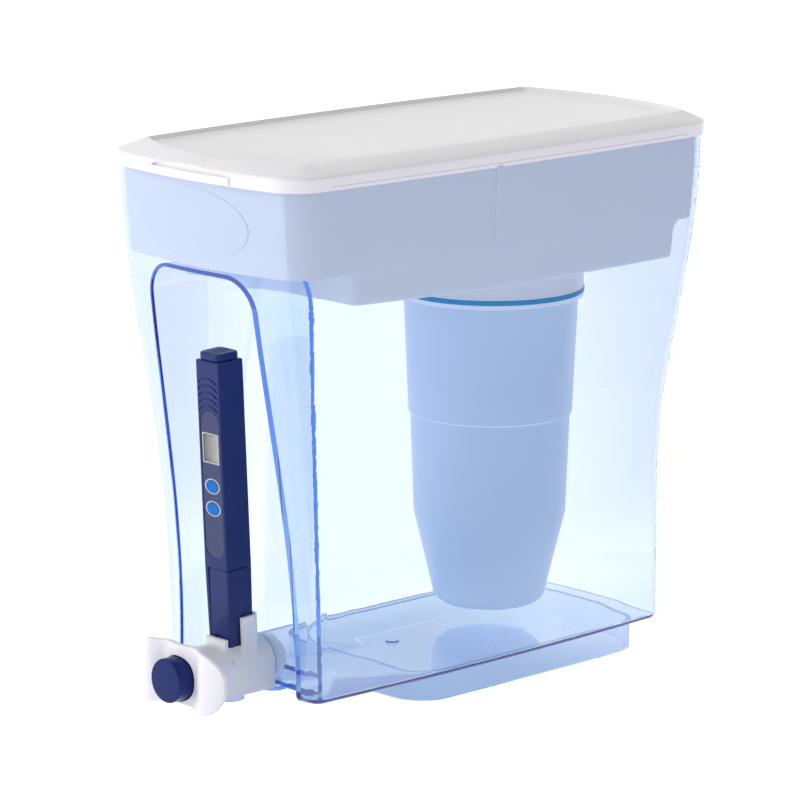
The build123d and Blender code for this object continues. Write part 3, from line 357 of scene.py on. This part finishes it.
class WaterFilterStage(bpy.types.PropertyGroup):
    azimuth: bpy.props.FloatProperty(
        name="Azimuth", description="Camera's turn round the object from the front",
        default=math.radians(46.53), unit="ROTATION")
    elevation: bpy.props.FloatProperty(
        name="Elevation", description="Camera's angle above the horizon",
        default=math.radians(12.28), unit="ROTATION")
    roll: bpy.props.FloatProperty(
        name="Roll", description="Camera's turn about its own axis", default=math.radians(0.18),
        unit="ROTATION")
    lens: bpy.props.FloatProperty(
        name="Lens", description="Focal length in millimetres on a 36 mm sensor", default=187.46,
        min=1.0)
    place: bpy.props.FloatVectorProperty(
        name="Camera place", description="Where the camera stands",
        default=(1.5239, -1.44775, 0.6021), size=3, subtype="TRANSLATION", unit="LENGTH")


def ground_tone(tree, place):
    """White ground with painted shade. Light that reaches it through the plastic, or lights a piece
    from below, finds it painted in the tank's blue shade, deepest under the tank, and a little
    dimmer to either side. Only mirrored light finds it painted dark beyond the tank's right side:
    a painted dark reflection that stands in for the darker end of the room."""
    parts = along(tree, place)
    path = add(tree, "ShaderNodeLightPath").outputs
    bent = maths(tree, "GREATER_THAN", path["Transmission Depth"], 0.5)
    through = maths(tree, "MAXIMUM", bent, path["Is Diffuse Ray"])
    mirrored = maths(tree, "GREATER_THAN", path["Glossy Depth"], 0.5)
    sharp = maths(tree, "SUBTRACT", 1.0, path["Is Diffuse Ray"])
    mirrored = maths(tree, "MULTIPLY", mirrored, sharp)
    mirrored = maths(tree, "MULTIPLY", mirrored, eased(tree, parts["X"], 0.12, 0.3))
    beside = eased(tree, maths(tree, "ABSOLUTE", parts["X"]), 0.13, 0.06)
    under = maths(tree, "MULTIPLY", beside, eased(tree, parts["Y"], 0.24, 0.02))
    under = maths(tree, "MULTIPLY", under, eased(tree, parts["Y"], -0.2, -0.12))
    across = maths(tree, "ADD", maths(tree, "MULTIPLY", parts["X"], 0.69),
                   maths(tree, "MULTIPLY", parts["Y"], 0.73))
    sides = eased(tree, maths(tree, "ABSOLUTE", across), 0.05, 0.2)
    # Painted shadow: the floor is painted in the tank's blue shade under the tank, and a little
    # dimmer to either side.
    tone = blend(tree, maths(tree, "MULTIPLY", under, through), "#FFFFFF", "#A0AFC4")
    tone = blend(tree, maths(tree, "MULTIPLY", sides, through), tone, "#E9E9FA", "MULTIPLY")
    # Painted dark reflection: seen only in mirrors, the floor beyond the tank's right side is
    # painted dark.
    return blend(tree, maths(tree, "MULTIPLY", mirrored, PAINTED_MIRROR_DARK), tone, "#000000")


# ---------------------------------------------------------------- operators
class WF_OT_stage(bpy.types.Operator):
    """Floor, surroundings, lamps and camera"""
    bl_idname = "water_filter.stage"
    bl_label = "Stage"

    def execute(self, context):
        scene = context.scene
        p = scene.wf_stage
        side = 6.0
        mesh = bpy.data.meshes.new("studio_floor")
        z = -FLOOR_GAP * MM
        corners = [(-side, -side, z), (side, -side, z), (side, side, z), (-side, side, z)]
        mesh.from_pydata(corners, [], [(0, 1, 2, 3)])
        floor = bpy.data.objects.new("studio_floor", mesh)
        scene.collection.objects.link(floor)
        mat, tree, place = new_material("white_sweep")
        tone = ground_tone(tree, place)
        paper = add(tree, "ShaderNodeBsdfPrincipled", {
            "Roughness": 1.0, "Specular IOR Level": 0.0, "Emission Strength": 0.8,
        }, {"Base Color": blend(tree, GROUND_DIM, tone, "#000000"), "Emission Color": tone})
        close_material(tree, paper.outputs[0])
        mesh.materials.append(mat)

        world = bpy.data.worlds.new("bright_room")
        scene.world = world
        world.use_nodes = True
        tree = world.node_tree
        tree.nodes.clear()
        way = add(tree, "ShaderNodeTexCoord").outputs["Generated"]
        across = add(tree, "ShaderNodeVectorMath", {1: (0.85, -0.1, 0.35)}, {0: way},
                     operation="DOT_PRODUCT")
        fade = add(tree, "ShaderNodeMapRange", {
            "From Min": -0.1, "From Max": 0.75, "To Min": 1.0, "To Max": 0.4,
        }, {"Value": across.outputs["Value"]}, interpolation_type="SMOOTHSTEP")
        light = add(tree, "ShaderNodeBackground", {"Color": (1, 1, 1, 1)},
                    {"Strength": fade.outputs["Result"]})
        add(tree, "ShaderNodeOutputWorld", links={"Surface": light.outputs[0]})

        lamp = bpy.data.lights.new("front_softbox", "AREA")
        lamp.shape = "RECTANGLE"
        lamp.size = 1.6
        lamp.size_y = 1.6
        lamp.energy = 14.0
        box = bpy.data.objects.new("front_softbox", lamp)
        box.location = (-0.9, -2.2, 1.2)
        aim = Vector((0, 0, 0.15)) - box.location
        box.rotation_euler = aim.to_track_quat("-Z", "Y").to_euler()
        scene.collection.objects.link(box)

        a, e, r = p.azimuth, p.elevation, p.roll
        back = Vector((math.sin(a) * math.cos(e), -math.cos(a) * math.cos(e), math.sin(e)))
        right = Vector((math.cos(a), math.sin(a), 0))
        up = back.cross(right)
        turned_right = right * math.cos(r) + up * math.sin(r)
        turned_up = up * math.cos(r) - right * math.sin(r)
        data = bpy.data.cameras.new("camera")
        data.sensor_width = 36.0
        data.lens = p.lens
        data.shift_x = -0.00025
        data.shift_y = -0.00204
        data.clip_end = 50.0
        camera = bpy.data.objects.new("camera", data)
        turn = Matrix((turned_right, turned_up, back)).transposed()
        camera.matrix_world = Matrix.Translation(Vector(p.place)) @ turn.to_4x4()
        scene.collection.objects.link(camera)
        scene.camera = camera

        scene.view_settings.view_transform = "Standard"
        scene.cycles.use_denoising = True
        scene.cycles.max_bounces = 28
        scene.cycles.transmission_bounces = 28
        scene.cycles.transparent_max_bounces = 24
        scene.cycles.diffuse_bounces = 4
        scene.cycles.glossy_bounces = 28
        return {"FINISHED"}


class WF_OT_tank(bpy.types.Operator):
    """Clear tank and the tap's clear barrel"""
    bl_idname = "water_filter.tank"
    bl_label = "Tank"

    def execute(self, context):
        p = context.scene.wf_tank
        clear = moulded_clear_san("moulded_blue_san", tuple(p.absorb), edge=PAINTED_EDGE_BLUE)
        smooth_copy("tank", clear)
        smooth_copy("tap_barrel", clear)
        return {"FINISHED"}


class WF_OT_reservoir(bpy.types.Operator):
    """Milky reservoir"""
    bl_idname = "water_filter.reservoir"
    bl_label = "Reservoir"

    def execute(self, context):
        smooth_copy("reservoir", natural_polypropylene(
            "moulded_natural_polypropylene", "#E8E6E8", "#ECEAEB", 0.16, 0.04))
        return {"FINISHED"}


class WF_OT_lid(bpy.types.Operator):
    """White lid"""
    bl_idname = "water_filter.lid"
    bl_label = "Lid"

    def execute(self, context):
        smooth_copy("lid", solid_plastic("white_polypropylene_lid", "#F2F0F2", "#F6F4F6", 0.3))
        return {"FINISHED"}


class WF_OT_cartridge(bpy.types.Operator):
    """Filter cartridge"""
    bl_idname = "water_filter.cartridge"
    bl_label = "Cartridge"

    def execute(self, context):
        shell = natural_polypropylene(
            # Painted light: the shells' pale blue stands in for the tank's blue light falling on
            # them; the shells themselves are likely white.
            "moulded_cartridge_polypropylene", "#CFDDEF", "#D8E5F4", 0.15,
            # Painted highlights: a paler flange ring at 193.6 mm and a white seam line at 129.9 mm.
            painted_highlight_rings=((193.6, 1.15, "#F6F8FC"), (129.9, 0.4, "#FFFFFF")))
        for node in ("filter_upper_shell", "filter_lower_shell", "filter_inlet_cap"):
            smooth_copy(node, shell)
        smooth_copy("filter_seal", solid_plastic(
            "cyan_silicone", "#0090C2", "#0498C8", 0.35, gloss=0.1))
        mesh = solid_plastic("polyester_mesh", "#DADADA", "#E6E6E6", 0.8, 0.3, 0.15)
        for node in ("filter_coarse_screen", "filter_membrane", "filter_outlet_screen"):
            paint(node, mesh)
        paint("filter_foam", solid_plastic("open_foam", "#D5D8DC", "#E6E8EA", 0.9, 0.7, 0.4))
        paint("filter_carbon_bed", solid_plastic(
            "carbon_grains", "#0E0E0E", "#2A2A2C", 0.7, 0.9, 0.5))
        paint("filter_resin_bed", solid_plastic(
            "resin_beads", "#9C6322", "#C48A3C", 0.4, 0.6, 0.3))
        return {"FINISHED"}


class WF_OT_tap(bpy.types.Operator):
    """Tap with its finger wings, button and valve"""
    bl_idname = "water_filter.tap"
    bl_label = "Tap"

    def execute(self, context):
        white = solid_plastic("white_acetal", "#F0EEF0", "#F4F2F4", 0.32)
        smooth_copy("tap_body", white)
        smooth_copy("tap_button", solid_plastic(
            "moulded_navy_abs", "#0F2360", "#142868", 0.25, gloss=0.15))
        paint("tap_stem", white)
        paint("tap_nut", natural_polypropylene(
            "moulded_nut_polypropylene", "#F2F5FA", "#F8FAFC", 0.3, 0.35))
        rubber = solid_plastic("pale_silicone", "#E4E8F0", "#ECEFF5", 0.55)
        for node in ("tap_outer_gasket", "tap_inner_gasket", "tap_valve_seal"):
            paint(node, rubber)
        spring = smooth_copy("tap_spring", solid_plastic(
            "spring_wire", "#A9A9A9", "#BDBDBD", 0.25, metal=1.0))
        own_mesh(spring)
        return {"FINISHED"}


class WF_OT_meter(bpy.types.Operator):
    """Pen-shaped water meter"""
    bl_idname = "water_filter.meter"
    bl_label = "Water meter"

    def execute(self, context):
        navy = solid_plastic("gloss_moulded_navy_abs", "#1E2E67", "#24346D", 0.22, gloss=0.2)
        for node in ("meter_cap", "meter_front_shell", "meter_back_shell", "meter_battery_drawer"):
            smooth_copy(node, navy)
        smooth_copy("meter_face_panel", printed_film(
            "printed_slate_film", "#2B3560", "#303A66", "#C9C6BE", WINDOW, KEYS))
        smooth_copy("meter_window", moulded_clear_san("clear_acrylic_window", (4.0, 3.0, 3.0)))
        paint("meter_display", liquid_crystal("liquid_crystal_film", "#302F33", "#BCBEB2"))
        key = solid_plastic("cyan_silicone_key", "#0068BC", "#0470C4", 0.35, gloss=0.15)
        for node in ("meter_power_button", "meter_hold_button"):
            smooth_copy(node, key)
        paint("meter_circuit_board", solid_plastic("solder_mask", "#1B4D2B", "#225A33", 0.4))
        paint("meter_probe_holder", solid_plastic("black_abs", "#1A1A1C", "#222224", 0.4))
        paint("meter_probe_pins", solid_plastic(
            "titanium_rod", "#9A958C", "#A8A39A", 0.35, metal=1.0))
        paint("meter_cells", solid_plastic("nickel_can", "#B5B5B4", "#C4C4C3", 0.25, metal=1.0))
        return {"FINISHED"}


class WF_PT_panel(bpy.types.Panel):
    """Lists the pieces"""
    bl_idname = "WF_PT_panel"
    bl_label = "Water Filter"
    bl_space_type = "VIEW_3D"
    bl_region_type = "UI"
    bl_category = "Water Filter"

    def draw(self, context):
        for operator in OPERATORS:
            self.layout.operator(operator.bl_idname)
        self.layout.prop(context.scene.wf_tank, "absorb")
        for name in ("azimuth", "elevation", "roll", "lens", "place"):
            self.layout.prop(context.scene.wf_stage, name)


OPERATORS = (WF_OT_stage, WF_OT_tank, WF_OT_reservoir, WF_OT_lid, WF_OT_cartridge, WF_OT_tap,
             WF_OT_meter)
CLASSES = (WaterFilterTank, WaterFilterStage, WF_PT_panel) + OPERATORS


def register():
    for cls in CLASSES:
        bpy.utils.register_class(cls)
    bpy.types.Scene.wf_tank = bpy.props.PointerProperty(type=WaterFilterTank)
    bpy.types.Scene.wf_stage = bpy.props.PointerProperty(type=WaterFilterStage)


def unregister():
    del bpy.types.Scene.wf_tank
    del bpy.types.Scene.wf_stage
    for cls in reversed(CLASSES):
        bpy.utils.unregister_class(cls)


def main():
    register()
    for step in ("stage", "tank", "reservoir", "lid", "cartridge", "tap", "meter"):
        getattr(bpy.ops.water_filter, step)()


if __name__ == "__main__":
    main()
